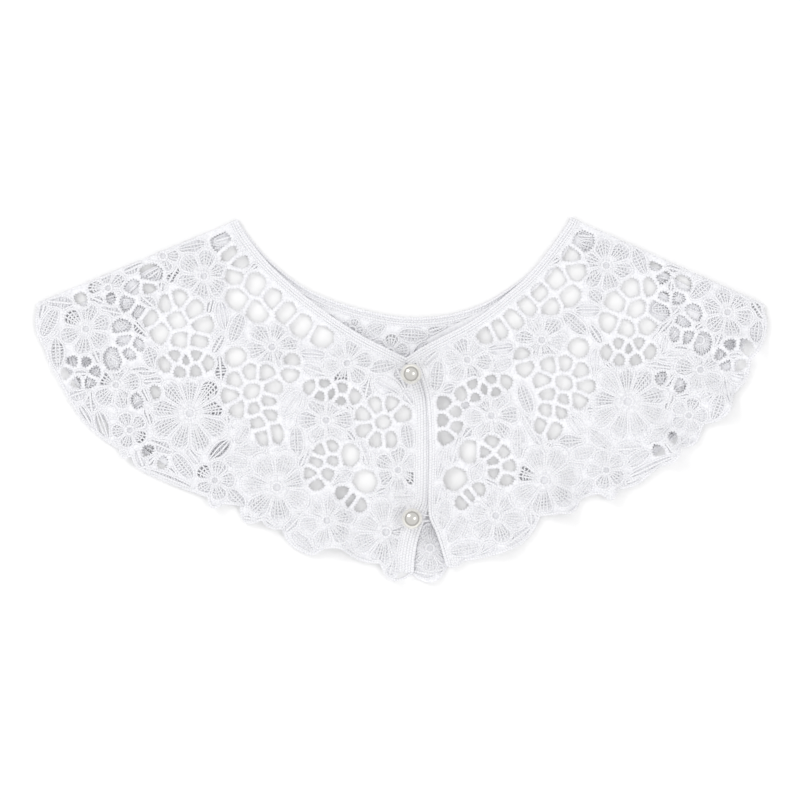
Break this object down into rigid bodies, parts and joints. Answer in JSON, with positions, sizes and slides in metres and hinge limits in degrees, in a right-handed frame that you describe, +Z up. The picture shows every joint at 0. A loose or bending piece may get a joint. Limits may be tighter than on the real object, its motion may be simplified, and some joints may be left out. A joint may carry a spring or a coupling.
{
  "type": "false collar",
  "caption": "Detachable lace false collar laid flat and buttoned, with a floral openwork pattern, scalloped hem, corded neck bands and pearl ball buttons.",
  "frame": {"origin": "centre of the bounding box in the plan, on the surface that the collar lies on", "axes": "+X to the right across the collar, +Y towards the back of the neck, +Z up from the surface"},
  "size_m": [0.3832, 0.1902, 0.0156],
  "materials": {
    "lace": "white satin-stitch guipure lace",
    "braid": "white corded braid",
    "pearl": "glossy pearl lacquer",
    "loop_thread": "twisted white thread"
  },
  "bodies": {
    "root": {"back_panel": "lace", "front_left": "lace", "front_right": "lace", "neck_band_back": "braid", "neck_band_left": "braid", "neck_band_right": "braid", "front_edge_left": "braid", "front_edge_right": "braid", "pearl_button_upper": "pearl", "pearl_button_lower": "pearl", "button_loop_upper": "loop_thread", "button_loop_lower": "loop_thread"}
  },
  "joints": []
}
